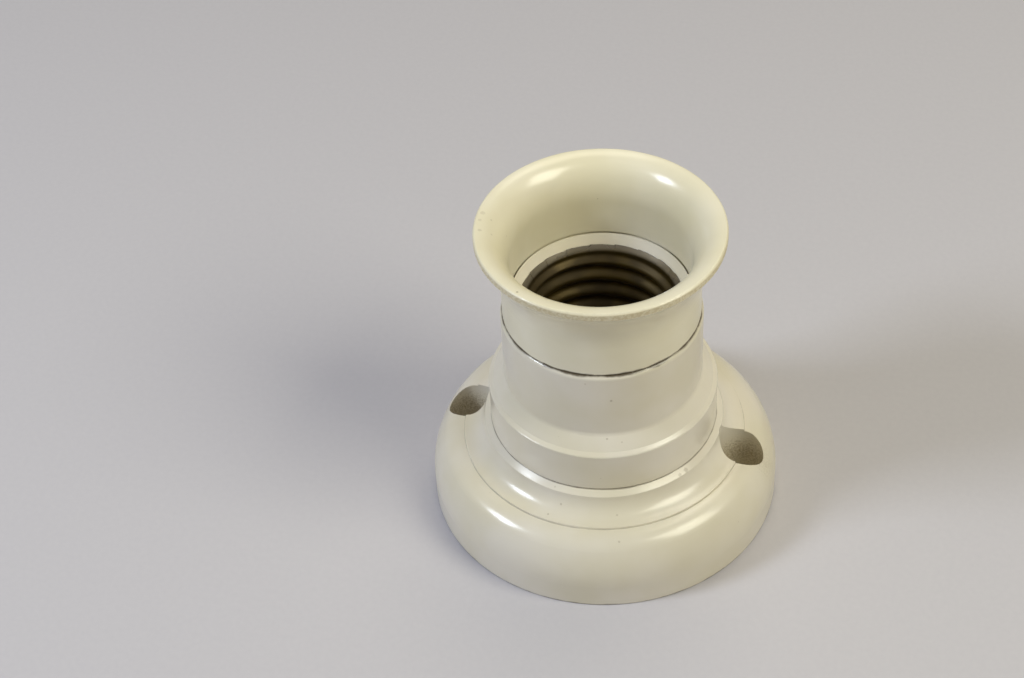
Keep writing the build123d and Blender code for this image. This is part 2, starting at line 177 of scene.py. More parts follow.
def deselect_all() -> None:
    """Leave nothing selected, so that an operator acts on the new piece alone."""
    if bpy.context.object and bpy.context.object.mode != "OBJECT":
        bpy.ops.object.mode_set(mode="OBJECT")
    bpy.ops.object.select_all(action="DESELECT")


def pick(piece: bpy.types.Object, test: Callable[[Vector], bool], rim: bool = False) -> None:
    """Select, in edit mode, the vertices whose place passes a test.

    Args:
        piece: The piece that is being shaped.
        test: Says of a place whether it is wanted.
        rim: Take only vertices on an open edge.
    """
    if rim:
        bpy.ops.object.mode_set(mode="EDIT")
        bpy.ops.mesh.select_all(action="SELECT")
        bpy.ops.mesh.region_to_loop()
    bpy.ops.object.mode_set(mode="OBJECT")
    mesh = piece.data
    wanted = [test(vertex.co) and (vertex.select or not rim) for vertex in mesh.vertices]
    for parts in (mesh.edges, mesh.polygons):
        parts.foreach_set("select", [False] * len(parts))
    mesh.vertices.foreach_set("select", wanted)
    bpy.ops.object.mode_set(mode="EDIT")
    bpy.ops.mesh.select_mode(type="VERT")


def apply_modifiers(piece: bpy.types.Object) -> None:
    """Apply every modifier of a piece, in order.

    Args:
        piece: The active piece.
    """
    bpy.ops.object.mode_set(mode="OBJECT")
    for modifier in list(piece.modifiers):
        bpy.ops.object.modifier_apply(modifier=modifier.name)


def fade_onto_wall(piece: bpy.types.Object, radius: float, weights: Iterable[float]) -> None:
    """Draw chosen points of a piece onto a plain round wall about the lamp's axis.

    Args:
        piece: The active piece, in object mode.
        radius: The wall's radius.
        weights: How far each vertex goes, from 0 to 1, in the mesh's own order.
    """
    columns, wall_height, wall_middle = 256, 80 * MM, 35 * MM
    fade = piece.vertex_groups.new(name="fade")
    for index, weight in enumerate(weights):
        if weight > 0:
            fade.add([index], weight, "REPLACE")
    bpy.ops.object.select_all(action="DESELECT")
    bpy.ops.mesh.primitive_cylinder_add(vertices=columns, radius=radius, depth=wall_height,
                                        location=(0, 0, wall_middle), end_fill_type="NOTHING")
    wall = bpy.context.object
    wall.select_set(False)
    piece.select_set(True)
    bpy.context.view_layer.objects.active = piece
    wrap = piece.modifiers.new("fade", "SHRINKWRAP")
    wrap.target = wall
    wrap.vertex_group = fade.name
    apply_modifiers(piece)
    piece.vertex_groups.clear()
    bpy.data.objects.remove(wall)


def finish_piece(piece: bpy.types.Object, name: str, material: bpy.types.Material, smooth_deg: float) -> None:
    """Name a piece, merge its doubles, turn its faces outwards, smooth it and give it its material.

    Args:
        piece: The active piece.
        name: The name that it is kept under.
        material: Its finish.
        smooth_deg: Edges that turn by less than this are shaded smooth.
    """
    bpy.ops.object.mode_set(mode="EDIT")
    bpy.ops.mesh.select_all(action="SELECT")
    bpy.ops.mesh.remove_doubles(threshold=MERGE_MM * MM)
    bpy.ops.mesh.normals_make_consistent(inside=False)
    bpy.ops.object.mode_set(mode="OBJECT")
    bpy.ops.object.shade_smooth_by_angle(angle=math.radians(smooth_deg))
    piece.name = name
    piece.data.name = name
    piece.data.materials.clear()
    piece.data.materials.append(material)
    log.info("%s built with %d faces", name, len(piece.data.polygons))
    deselect_all()


@dataclass(frozen=True)
class Mark:
    """A dark inclusion, scuff or stain in the moulding, or a patch of painted shade, placed round the axis
    and up it.

    Its depth is the share of dark at its middle, from 0 to 1.
    """

    azimuth_deg: float
    radius_mm: float
    height_mm: float
    size_mm: float
    depth: float

    @property
    def place_mm(self) -> tuple[float, float, float]:
        """The mark's place in millimetres."""
        turn = math.radians(self.azimuth_deg)
        return (self.radius_mm * math.cos(turn), self.radius_mm * math.sin(turn), self.height_mm)


@dataclass(frozen=True)
class Joint:
    """A corner or joint round the axis where grime and painted shade lie, with its share of dark, from 0 to
    1.
    """

    radius_mm: float
    height_mm: float
    width_mm: float
    depth: float


# Painted shade inside the two fixing holes, which stand on a 50.8 mm line
FIXING_RADIUS_MM = 25.4
HOLE_SHADE_MM = 8.0
HOLE_SHADE = tuple(Mark(turn_deg, FIXING_RADIUS_MM, HOLE_SHADE_MM, HOLE_SHADE_MM, 0.9) for turn_deg in (0.0, 180.0))

BODY_MARKS = (
    Mark(-71.1, 17.6, 37.1, 0.42, 0.45), Mark(-73.7, 18.1, 28.4, 0.34, 0.4),
    Mark(-65.9, 18.6, 27.8, 0.3, 0.3), Mark(-95.5, 22.4, 15.1, 0.38, 0.4),
    Mark(-99.7, 24.3, 13.8, 0.34, 0.4), Mark(-70.4, 23.2, 14.4, 0.38, 0.35),
    Mark(-70.7, 27.8, 12.6, 0.38, 0.35), Mark(-85.1, 17.6, 41.0, 0.34, 0.25),
    Mark(-33.0, 21.1, 17.5, 0.8, 0.4), *HOLE_SHADE,
    Mark(-37.1, 21.2, 17.4, 0.6, 0.4), Mark(-99.8, 21.0, 17.5, 0.34, 0.3),
    Mark(-89.2, 20.3, 18.0, 0.34, 0.3),
)
SKIRT_MARKS = (
    Mark(-116.6, 20.5, 60.4, 0.4, 0.6), Mark(-178.2, 20.2, 60.3, 0.8, 0.2),
    Mark(-172.9, 20.3, 60.3, 0.6, 0.2), Mark(-165.7, 20.1, 60.3, 0.6, 0.25),
    Mark(-175.9, 18.6, 59.6, 0.35, 0.25), Mark(-165.7, 18.1, 59.3, 0.35, 0.25),
    Mark(44.0, 21.1, 59.9, 0.6, 0.4), Mark(39.6, 21.1, 59.9, 0.5, 0.4),
)


@dataclass(frozen=True)
class MouldedUrea:
    """Urea-formaldehyde, hot-pressed in a turned and polished steel mould.

    The eye sees a hard cream skin with half gloss, faint rings left by the turned mould, a slow yellowing in
    patches, a few dark inclusions, painted shade in the fixing holes, grime and painted shade in the joints,
    painted shadow along the foot, and a rougher, darker band where the flash was rubbed off.
    """

    name: str = "cream_urea_moulded"
    cream: str = "#E4DDCE"
    aged: str = "#DCD4BD"
    # Dark flecks and marks, and also the painted shade inside the fixing holes
    inclusion_and_shade: str = "#96866A"
    # Grime and painted shade in the joints, and painted shadow along the foot
    grime_and_shade: str = "#5E5340"
    rubbed: str = "#C2B083"
    roughness: float = 0.225
    shine_spread: float = 0.035
    ior: float = 1.54
    mottle_mm: float = 16.0
    handled_mm: float = 25 / 3
    grime_and_shade_mm: float = 10 / 3
    slow_mm: float = 20 / 3
    slow_depth_mm: float = 0.01
    # The polished skin's ripple and the mould's turning lines are finer than this and would not show, so both
    # are drawn as coarse as they need to show.
    skin_mm: float = 1.2
    skin_depth_mm: float = 0.0006
    ring_mm: float = 0.55
    ring_depth_mm: float = 0.002
    # The ragged edge of a mark is drawn coarser than the real one too, for the same reason.
    rag_mm: float = 1 / 3
    # A fleck's edge starts and ends at these shares of the flecks' spacing.
    fleck_mm: float = 5.5
    fleck_edge: tuple[float, float] = (0.012, 0.026)
    fleck_depth: float = 0.5
    flash_mm: tuple[float, float] | None = None
    flash_radius_mm: float = 0.0
    marks: tuple[Mark, ...] = ()
    # Grime and painted shade at the skirt's and the base's joints and at the base's step, and painted shadow
    # along the base's foot
    joints: tuple[Joint, ...] = (
        Joint(17.15, 42.7, 0.8, 1.0), Joint(20.35, 18.0, 0.32, 0.6), Joint(25.5, 13.35, 0.24, 0.25),
        Joint(31.5, 0.0, 0.7, 0.8),
    )

    def material(self) -> bpy.types.Material:
        """Build the cream moulding's material.

        Returns:
            The material.
        """
        made, tree = new_tree(self.name)
        place = millimetre_coordinates(tree)
        around = turned_coordinates(tree, place)
        colour = self.body_colour(tree, place, around)
        height = self.skin_height(tree, place, around)
        rough = self.shine(tree, place, around)
        if self.flash_mm:
            colour, rough, height = self.rubbed_band(tree, place, around, colour, rough, height)
        bump = add_node(tree, "ShaderNodeBump", None, {"Strength": 1.0, "Distance": MM, "Height": height})
        shine = add_node(tree, "ShaderNodeBsdfPrincipled", None,
                         {"Base Color": colour, "Roughness": rough, "IOR": self.ior, "Normal": bump})
        add_node(tree, "ShaderNodeOutputMaterial", None, {"Surface": shine})
        return made

    def body_colour(self, tree: bpy.types.NodeTree, place: bpy.types.NodeSocket,
                    around: bpy.types.NodeSocket) -> bpy.types.Node:
        """Mix the aged patches, the fine flecks, the placed marks and the grime and painted shade into the
        cream.

        Args:
            tree: The material's node tree.
            place: Coordinates in millimetres.
            around: Radius and height in millimetres.

        Returns:
            The node that gives the colour.
        """
        core, edge = self.fleck_edge
        mottle = add_node(tree, NOISE, None, {"Vector": place, "Scale": 1 / self.mottle_mm, "Detail": 3.0})
        share = add_node(tree, SPREAD, SMOOTH, {0: mottle, FROM_LOW: 0.3, FROM_HIGH: 0.7})
        colour = add_node(tree, MIX, COLOURS,
                          {SHARE: share, UNDER: linear(self.cream), OVER: linear(self.aged)})
        cells = add_node(tree, "ShaderNodeTexVoronoi", None, {"Vector": place, "Scale": 1 / self.fleck_mm})
        shown = add_node(tree, SPREAD, SMOOTH, {0: cells, FROM_LOW: core, FROM_HIGH: edge,
                                                TO_LOW: self.fleck_depth, TO_HIGH: 0.0})
        shown = self.marks_share(tree, place, shown)
        colour = add_node(tree, MIX, COLOURS, {SHARE: shown, UNDER: colour, OVER: linear(self.inclusion_and_shade)})
        # Grime and painted shade along the joints, and painted shadow along the foot
        grime_and_shade_amount = self.grime_and_shade_share(tree, place, around)
        return add_node(tree, MIX, COLOURS, {SHARE: grime_and_shade_amount, UNDER: colour, OVER: linear(self.grime_and_shade)})

    def marks_share(self, tree: bpy.types.NodeTree, place: bpy.types.NodeSocket,
                    share: bpy.types.Node) -> bpy.types.Node:
        """Add the placed marks, each with a ragged edge, to the share of dark.

        Args:
            tree: The material's node tree.
            place: Coordinates in millimetres.
            share: Share of dark so far.

        Returns:
            The node that gives the share with the marks in it.
        """
        core_share = 0.6
        rag = add_node(tree, NOISE, None, {"Vector": place, "Scale": 1 / self.rag_mm, "Detail": 2.0})
        for mark in self.marks:
            core_mm = mark.size_mm * core_share
            away = add_node(tree, VECTOR, {"operation": "DISTANCE"}, {0: place, 1: mark.place_mm})
            loose = add_node(tree, MATH, PRODUCT, {0: rag, 1: core_mm})
            ragged = add_node(tree, MATH, SUM, {0: away, 1: loose})
            spot = add_node(tree, SPREAD, SMOOTH, {0: ragged, FROM_LOW: core_mm, FROM_HIGH: mark.size_mm,
                                                   TO_LOW: mark.depth, TO_HIGH: 0.0})
            share = add_node(tree, MATH, LARGER, {0: share, 1: spot})
        return share

    def grime_and_shade_share(self, tree: bpy.types.NodeTree, place: bpy.types.NodeSocket,
                    around: bpy.types.NodeSocket) -> bpy.types.Node:
        """Give the share of grime and painted shade: uneven lines along the joints, corners and the foot.

        Args:
            tree: The material's node tree.
            place: Coordinates in millimetres.
            around: Radius and height in millimetres.

        Returns:
            The node that gives the share.
        """
        core_share, edge_share = 0.7, 1.2
        uneven = add_node(tree, NOISE, None, {"Vector": place, "Scale": 1 / self.grime_and_shade_mm, "Detail": 4.0})
        share: bpy.types.Node | float = 0.0
        for joint in self.joints:
            ring = (joint.radius_mm, joint.height_mm, 0.0)
            edge_mm = joint.width_mm * edge_share
            away = add_node(tree, VECTOR, {"operation": "DISTANCE"}, {0: around, 1: ring})
            loose = add_node(tree, MATH, PRODUCT, {0: uneven, 1: edge_mm})
            ragged = add_node(tree, MATH, SUM, {0: away, 1: loose})
            line = add_node(tree, SPREAD, SMOOTH, {0: ragged, FROM_LOW: joint.width_mm * core_share,
                                                   FROM_HIGH: edge_mm, TO_LOW: joint.depth, TO_HIGH: 0.0})
            share = add_node(tree, MATH, LARGER, {0: share, 1: line})
        return share

    def skin_height(self, tree: bpy.types.NodeTree, place: bpy.types.NodeSocket,
                    around: bpy.types.NodeSocket) -> bpy.types.Node:
        """Give the skin's height in millimetres: a slow ripple, the skin's own and the turned mould's rings.

        Args:
            tree: The material's node tree.
            place: Coordinates in millimetres.
            around: Radius and height in millimetres.

        Returns:
            The node that gives the height.
        """
        slow = add_node(tree, NOISE, None, {"Vector": place, "Scale": 1 / self.slow_mm, "Detail": 0.0})
        skin = add_node(tree, NOISE, None, {"Vector": place, "Scale": 1 / self.skin_mm, "Detail": 1.0})
        rings = add_node(tree, NOISE, None, {"Vector": around, "Scale": 1 / self.ring_mm, "Detail": 1.0})
        height = add_node(tree, MATH, PRODUCT, {0: slow, 1: self.slow_depth_mm})
        for pattern, depth_mm in ((skin, self.skin_depth_mm), (rings, self.ring_depth_mm)):
            layer = add_node(tree, MATH, PRODUCT, {0: pattern, 1: depth_mm})
            height = add_node(tree, MATH, SUM, {0: height, 1: layer})
        return height

    def shine(self, tree: bpy.types.NodeTree, place: bpy.types.NodeSocket,
              around: bpy.types.NodeSocket) -> bpy.types.Node:
        """Give the roughness: slow patches where the skin was handled, and the mould's turned rings.

        Args:
            tree: The material's node tree.
            place: Coordinates in millimetres.
            around: Radius and height in millimetres.

        Returns:
            The node that gives the roughness.
        """
        patches = add_node(tree, NOISE, None, {"Vector": place, "Scale": 1 / self.handled_mm, "Detail": 2.0})
        rings = add_node(tree, NOISE, None, {"Vector": around, "Scale": 1 / self.ring_mm, "Detail": 2.0})
        both = add_node(tree, MATH, SUM, {0: patches, 1: rings})
        return add_node(tree, SPREAD, SMOOTH, {0: both, FROM_LOW: 0.7, FROM_HIGH: 1.3,
                                               TO_LOW: self.roughness - self.shine_spread,
                                               TO_HIGH: self.roughness + self.shine_spread})

    def rubbed_band(self, tree: bpy.types.NodeTree, place: bpy.types.NodeSocket, around: bpy.types.NodeSocket,
                    colour: bpy.types.Node, rough: bpy.types.Node,
                    height: bpy.types.Node) -> tuple[bpy.types.Node, ...]:
        """Darken and roughen the band where the mould closed and its flash was rubbed off.

        Args:
            tree: The material's node tree.
            place: Coordinates in millimetres.
            around: Radius and height in millimetres.
            colour: Colour so far.
            rough: Roughness so far.
            height: Skin height so far, in millimetres.

        Returns:
            The three nodes with the band in them.
        """
        low, high = self.flash_mm
        grain_mm, edge_mm, pit_mm, wander_mm, dulling = 5 / 11, 0.22, 0.035, 0.5, 0.3
        apart = add_node(tree, "ShaderNodeSeparateXYZ", None, {0: around})
        grain = add_node(tree, NOISE, None, {"Vector": place, "Scale": 1 / grain_mm, "Detail": 4.0})
        loose = add_node(tree, MATH, PRODUCT, {0: grain, 1: wander_mm})
        wander = add_node(tree, MATH, SUM, {0: apart.outputs[1], 1: loose})
        above = add_node(tree, SPREAD, SMOOTH, {0: wander, FROM_LOW: low, FROM_HIGH: low + edge_mm * 2})
        below = add_node(tree, SPREAD, SMOOTH, {0: wander, FROM_LOW: high, FROM_HIGH: high + edge_mm * 2,
                                                TO_LOW: 1.0, TO_HIGH: 0.0})
        beyond = add_node(tree, SPREAD, SMOOTH, {0: apart.outputs[0], FROM_LOW: self.flash_radius_mm,
                                                 FROM_HIGH: self.flash_radius_mm + edge_mm})
        inside = add_node(tree, MATH, PRODUCT, {0: above, 1: below})
        inside = add_node(tree, MATH, PRODUCT, {0: inside, 1: beyond})
        patchy = add_node(tree, SPREAD, SMOOTH, {0: grain, FROM_LOW: 0.35, FROM_HIGH: 0.65,
                                                 TO_LOW: 0.25, TO_HIGH: 0.75})
        worn = add_node(tree, MATH, PRODUCT, {0: inside, 1: patchy})
        colour = add_node(tree, MIX, COLOURS, {SHARE: worn, UNDER: colour, OVER: linear(self.rubbed)})
        duller = add_node(tree, MATH, PRODUCT, {0: inside, 1: dulling})
        rough = add_node(tree, MATH, SUM, {0: rough, 1: duller})
        pits = add_node(tree, MATH, PRODUCT, {0: grain, 1: pit_mm})
        pits = add_node(tree, MATH, PRODUCT, {0: pits, 1: inside})
        return colour, rough, add_node(tree, MATH, SUM, {0: height, 1: pits})


@dataclass(frozen=True)
class FiredSteatite:
    """Pressed and fired soapstone body without glaze: off-white, chalky, with fine pores."""

    name: str = "steatite_fired"
    pale: str = "#DDD7C8"
    warm: str = "#CBC2AE"
    roughness: float = 0.62
    ior: float = 1.57
    cloud_mm: float = 4.0
    # The real pores are finer than this and would not show, so they are drawn as coarse as they need to show.
    pore_mm: float = 0.35
    pore_depth_mm: float = 0.02

    def material(self) -> bpy.types.Material:
        """Build the steatite's material.

        Returns:
            The material.
        """
        made, tree = new_tree(self.name)
        place = millimetre_coordinates(tree)
        clouds = add_node(tree, NOISE, None, {"Vector": place, "Scale": 1 / self.cloud_mm, "Detail": 4.0})
        pores = add_node(tree, NOISE, None, {"Vector": place, "Scale": 1 / self.pore_mm, "Detail": 3.0})
        share = add_node(tree, SPREAD, SMOOTH, {0: clouds, FROM_LOW: 0.35, FROM_HIGH: 0.7})
        colour = add_node(tree, MIX, COLOURS,
                          {SHARE: share, UNDER: linear(self.pale), OVER: linear(self.warm)})
        bump = add_node(tree, "ShaderNodeBump", None,
                        {"Strength": 0.5, "Distance": self.pore_depth_mm * MM, "Height": pores})
        shine = add_node(tree, "ShaderNodeBsdfPrincipled", None,
                         {"Base Color": colour, "Roughness": self.roughness, "IOR": self.ior, "Normal": bump})
        add_node(tree, "ShaderNodeOutputMaterial", None, {"Surface": shine})
        return made


@dataclass(frozen=True)
class WorkedMetal:
    """A metal as it came off its tool: clean where it was rubbed, dull in patches, with fine tool lines."""

    name: str
    clean: str
    dull: str
    roughness: float
    patch_mm: float = 2.5
    patch_detail: float = 5.0
    # The real tool lines are finer than this and would not show, so they are drawn as coarse as they need to.
    line_mm: tuple[float, float, float] = (0.1, 0.1, 0.1)
    line_depth_mm: float = 0.004
    stain: float = 0.6
    dulling: float = 0.18
    metallic: float = 1.0
    bare: str | None = None
    bare_from_mm: float = 0.0
    bare_edge_mm: float = 0.6
    bare_polish: float = 0.2

    def material(self) -> bpy.types.Material:
        """Build the metal's material.

        Returns:
            The material.
        """
        made, tree = new_tree(self.name)
        place = millimetre_coordinates(tree)
        patches = add_node(tree, NOISE, None, {"Vector": place, "Scale": 1 / self.patch_mm,
                                               "Detail": self.patch_detail, "Roughness": 0.6})
        # The noise keeps near its middle of 0.5, so a stronger stain starts lower in it and covers more.
        low = 0.5 - 0.25 * self.stain
        share = add_node(tree, SPREAD, SMOOTH, {0: patches, FROM_LOW: low, FROM_HIGH: low + 0.35})
        colour = add_node(tree, MIX, COLOURS,
                          {SHARE: share, UNDER: linear(self.clean), OVER: linear(self.dull)})
        stretched = add_node(tree, VECTOR, {"operation": "DIVIDE"}, {0: place, 1: self.line_mm})
        lines = add_node(tree, NOISE, None, {"Vector": stretched, "Scale": 1.0})
        bump = add_node(tree, "ShaderNodeBump", None,
                        {"Strength": 0.6, "Distance": self.line_depth_mm * MM, "Height": lines})
        rough = add_node(tree, SPREAD, SMOOTH, {0: patches, FROM_LOW: 0.3, FROM_HIGH: 0.7,
                                                TO_LOW: self.roughness,
                                                TO_HIGH: self.roughness + self.dulling})
        if self.bare:
            heights = add_node(tree, "ShaderNodeSeparateXYZ", None, {0: place})
            worn = add_node(tree, SPREAD, SMOOTH, {0: heights.outputs[2], FROM_LOW: self.bare_from_mm,
                                                   FROM_HIGH: self.bare_from_mm + self.bare_edge_mm})
            colour = add_node(tree, MIX, COLOURS, {SHARE: worn, UNDER: colour, OVER: linear(self.bare)})
            smoother = add_node(tree, MATH, PRODUCT, {0: worn, 1: -self.bare_polish})
            rough = add_node(tree, MATH, SUM, {0: rough, 1: smoother})
        shine = add_node(tree, "ShaderNodeBsdfPrincipled", None,
                         {"Base Color": colour, "Metallic": self.metallic, "Roughness": rough,
                          "Normal": bump})
        add_node(tree, "ShaderNodeOutputMaterial", None, {"Surface": shine})
        return made


@dataclass(frozen=True)
class Thread:
    """A right-handed moulded thread: a round-cornered ridge wound on a plain round wall."""

    name: str
    body: str
    side: Side
    wall_mm: float
    start_mm: float
    start_deg: float
    turns: float
    pitch_mm: float = 2.0
    depth_mm: float = 0.5
    foot_mm: float = 1.1
    crest_mm: float = 0.55
    sink_mm: float = 0.12
    round_share: float = 0.3
    steps: int = 96
    taper_deg: float = 40.0

    def build(self, material: bpy.types.Material) -> bpy.types.Object:
        """Model the thread.

        Args:
            material: The moulding's own finish.

        Returns:
            The thread's piece.
        """
        piece = self.ridge_section()
        self.wind(piece)
        self.run_out(piece)
        bpy.ops.object.mode_set(mode="EDIT")
        bpy.ops.mesh.select_all(action="SELECT")
        bpy.ops.mesh.fill_holes(sides=0)
        finish_piece(piece, self.name, material, 50.0)
        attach(piece, self.body)
        return piece

    def ridge_section(self) -> bpy.types.Object:
        """Draw the ridge's section: a flat plate whose crest end is narrowed and rounded.

        Returns:
            The section's outline, turned to where the thread starts.
        """
        deselect_all()
        outer = self.side is Side.OUTWARD
        foot = (self.wall_mm - self.sink_mm * self.side.value) * MM
        crest = (self.wall_mm + self.depth_mm * self.side.value) * MM
        bpy.ops.mesh.primitive_plane_add(size=1, location=((foot + crest) / 2, 0, self.start_mm * MM),
                                         rotation=(math.radians(90), 0, 0))
        piece = bpy.context.object
        piece.scale = (abs(crest - foot), self.foot_mm * MM, 1)
        bpy.ops.object.transform_apply(location=True, rotation=True, scale=True)
        middle = (foot + crest) / 2
        pick(piece, lambda place: (place.x > middle) == outer)
        bpy.ops.transform.resize(value=(1, 1, self.crest_mm / self.foot_mm),
                                 center_override=(crest, 0, self.start_mm * MM))
        bpy.ops.mesh.bevel(affect="VERTICES", offset=self.depth_mm * self.round_share * MM, segments=3)
        bpy.ops.mesh.select_all(action="SELECT")
        bpy.ops.mesh.delete(type="ONLY_FACE")
        bpy.ops.object.mode_set(mode="OBJECT")
        piece.rotation_euler.z = math.radians(self.start_deg)
        bpy.ops.object.transform_apply(location=True, rotation=True, scale=True)
        return piece

    def wind(self, piece: bpy.types.Object) -> None:
        """Wind the section round the lamp's axis.

        Args:
            piece: The section's outline.
        """
        screw = piece.modifiers.new("wind", "SCREW")
        screw.axis = "Z"
        screw.angle = math.radians(360 * self.turns)
        screw.screw_offset = self.pitch_mm * self.turns * MM
        screw.steps = screw.render_steps = round(self.steps * self.turns)
        screw.use_merge_vertices = False
        apply_modifiers(piece)

    def run_out(self, piece: bpy.types.Object) -> None:
        """Let the ridge sink into its wall at both ends.

        Args:
            piece: The wound ridge.
        """
        deepest = 0.9
        corners = len(piece.data.vertices) // (round(self.steps * self.turns) + 1)
        last = len(piece.data.vertices) // corners - 1
        reach = self.taper_deg / 360 * self.steps
        weights = [deepest * max(0.0, 1 - min(index // corners, last - index // corners) / reach)
                   for index in range(len(piece.data.vertices))]
        fade_onto_wall(piece, (self.wall_mm - self.sink_mm * self.side.value) * MM, weights)


@dataclass
class MouldedThreads:
    """The two screw joints of the mouldings: base to body, and body to skirt ring."""

    collar_mm: float
    body_bore_mm: float
    spigot_mm: float
    skirt_bore_mm: float
    ledge_mm: float
    joint_mm: float
    pitch_mm: float = 2.0
    ledge_lead_mm: float = 1.0
    joint_lead_mm: float = 0.65

    def build(self, material: bpy.types.Material) -> None:
        """Model the four threads, each pair half a pitch apart.

        Args:
            material: The cream moulding's finish.
        """
        half = self.pitch_mm / 2
        low = self.ledge_mm + self.ledge_lead_mm
        high = self.joint_mm + self.joint_lead_mm
        threads = (
            Thread("collar_thread", "base", Side.OUTWARD, self.collar_mm, low, start_deg=40.0, turns=2.4),
            Thread("body_thread", "body", Side.INWARD, self.body_bore_mm, low + half,
                   start_deg=40.0, turns=2.6),
            Thread("spigot_thread", "body", Side.OUTWARD, self.spigot_mm, high, start_deg=200.0, turns=0.9),
            Thread("skirt_thread", "skirt", Side.INWARD, self.skirt_bore_mm, high,
                   start_deg=20.0, turns=0.95),
        )
        for thread in threads:
            thread.build(material)


@dataclass
class ScrewShell:
    """The rolled shell: flared mouth, a true right-handed lamp thread, and four clinched tabs."""

    root_mm: float = 13.3
    crest_mm: float = 12.2
    pitch_mm: float = 3.629
    wall_mm: float = 0.35
    crest_height_mm: float = 41.615
    crest_azimuth_deg: float = 108.0
    thread_low_mm: float = 28.95
    thread_high_mm: float = 43.2
    fade_mm: float = 1.5
    turns: int = 5
    columns: int = 160
    section_points: int = 20
    join_mm: float = 0.002
    mouth: tuple[tuple[float, float], ...] = ((13.32, 43.34), (13.42, 43.58), (13.72, 44.04), (14.0, 44.44))
    foot_height_mm: float = 26.55
    tab_half_mm: float = 2.5
    tab: tuple[tuple[float, float], ...] = ((13.34, 26.22), (13.5, 26.08), (13.7, 26.05), (15.5, 26.05))

    def build(self, material: bpy.types.Material) -> bpy.types.Object:
        """Model the shell.

        Args:
            material: The shell's metal.

        Returns:
            The shell's piece.
        """
        piece = self.section()
        self.roll(piece)
        self.trim(piece)
        self.mouth_and_foot(piece)
        self.tabs(piece)
        bpy.ops.mesh.select_all(action="SELECT")
        bpy.ops.mesh.normals_make_consistent(inside=False)
        bpy.ops.object.mode_set(mode="OBJECT")
        faces = piece.data.polygons
        leaning = sum(face.normal.x * face.center.x + face.normal.y * face.center.y for face in faces)
        sheet = piece.modifiers.new("sheet", "SOLIDIFY")
        sheet.thickness = self.wall_mm * MM
        sheet.offset = 1.0 if leaning > 0 else -1.0
        sheet.use_quality_normals = True
        apply_modifiers(piece)
        finish_piece(piece, "screw_shell_rolled", material, 40.0)
        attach(piece, "body")
        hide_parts("screw_shell")
        return piece

    def wave_mm(self, share: float) -> float:
        """Give the inner radius at a share of one pitch: root, crest and root again."""
        return self.root_mm - (self.root_mm - self.crest_mm) * (1 - math.cos(2 * math.pi * share)) / 2

    def section(self) -> bpy.types.Object:
        """Draw one pitch of the rolled section, extruded point by point.

        Returns:
            The section, turned to where the thread starts.
        """
        deselect_all()
        turns_below = self.turns - 1
        foot = self.crest_height_mm - self.pitch_mm * (0.5 + turns_below)
        bpy.ops.mesh.primitive_plane_add(size=MM, location=(self.root_mm * MM, 0, foot * MM))
        piece = bpy.context.object
        bpy.ops.object.transform_apply(location=True, rotation=True, scale=True)
        bpy.ops.object.mode_set(mode="EDIT")
        bpy.ops.mesh.select_all(action="SELECT")
        bpy.ops.mesh.merge(type="CENTER")
        rise = self.pitch_mm / self.section_points
        for point in range(self.section_points):
            step = self.wave_mm((point + 1) / self.section_points) - self.wave_mm(point / self.section_points)
            bpy.ops.mesh.extrude_region_move(TRANSFORM_OT_translate={"value": (step * MM, 0, rise * MM)})
        bpy.ops.object.mode_set(mode="OBJECT")
        piece.rotation_euler.z = math.radians(self.crest_azimuth_deg)
        bpy.ops.object.transform_apply(location=True, rotation=True, scale=True)
        return piece

    def roll(self, piece: bpy.types.Object) -> None:
        """Wind the section up the axis, one pitch a turn, and join the turns.

        Args:
            piece: The section.
        """
        screw = piece.modifiers.new("roll", "SCREW")
        screw.axis = "Z"
        screw.angle = math.radians(360 * self.turns)
        screw.screw_offset = self.pitch_mm * self.turns * MM
        screw.steps = screw.render_steps = self.columns * self.turns
        screw.use_merge_vertices = False
        apply_modifiers(piece)
        bpy.ops.object.mode_set(mode="EDIT")
        bpy.ops.mesh.select_all(action="SELECT")
        bpy.ops.mesh.remove_doubles(threshold=self.join_mm * MM)

    def trim(self, piece: bpy.types.Object) -> None:
        """Cut the winding level at both ends and let the thread fade into the plain wall there.

        Args:
            piece: The wound wall, in edit mode.
        """
        for height, way in ((self.thread_high_mm, 1), (self.thread_low_mm, -1)):
            bpy.ops.mesh.select_all(action="SELECT")
            bpy.ops.mesh.bisect(plane_co=(0, 0, height * MM), plane_no=(0, 0, way), clear_outer=True)
        bpy.ops.object.mode_set(mode="OBJECT")
        weights = []
        for vertex in piece.data.vertices:
            height = vertex.co.z / MM
            inside = min(self.thread_high_mm - height, height - self.thread_low_mm)
            share = min(1.0, max(0.0, 1 - inside / self.fade_mm))
            weights.append(share * share * (3 - 2 * share))
        fade_onto_wall(piece, self.root_mm * MM, weights)

    def mouth_and_foot(self, piece: bpy.types.Object) -> None:
        """Extrude the flared mouth at the top and the plain wall at the foot.

        Args:
            piece: The trimmed wall.
        """
        middle = (self.thread_high_mm + self.thread_low_mm) / 2 * MM
        now = (self.root_mm, self.thread_high_mm)
        pick(piece, lambda place: place.z > middle, rim=True)
        for radius, height in self.mouth:
            self.extrude_ring(now, (radius, height))
            now = (radius, height)
        pick(piece, lambda place: place.z < middle, rim=True)
        self.extrude_ring((self.root_mm, self.thread_low_mm), (self.root_mm, self.foot_height_mm))

    def tabs(self, piece: bpy.types.Object) -> None:
        """Extrude the four tabs down and bend them out under the body's roof.

        Args:
            piece: The wall with its foot.
        """
        reach = self.tab_half_mm * MM
        low = self.thread_low_mm * MM
        pick(piece, lambda place: place.z < low and min(abs(place.x), abs(place.y)) < reach, rim=True)
        now = (self.root_mm, self.foot_height_mm)
        for radius, height in self.tab:
            self.extrude_ring(now, (radius, height))
            now = (radius, height)

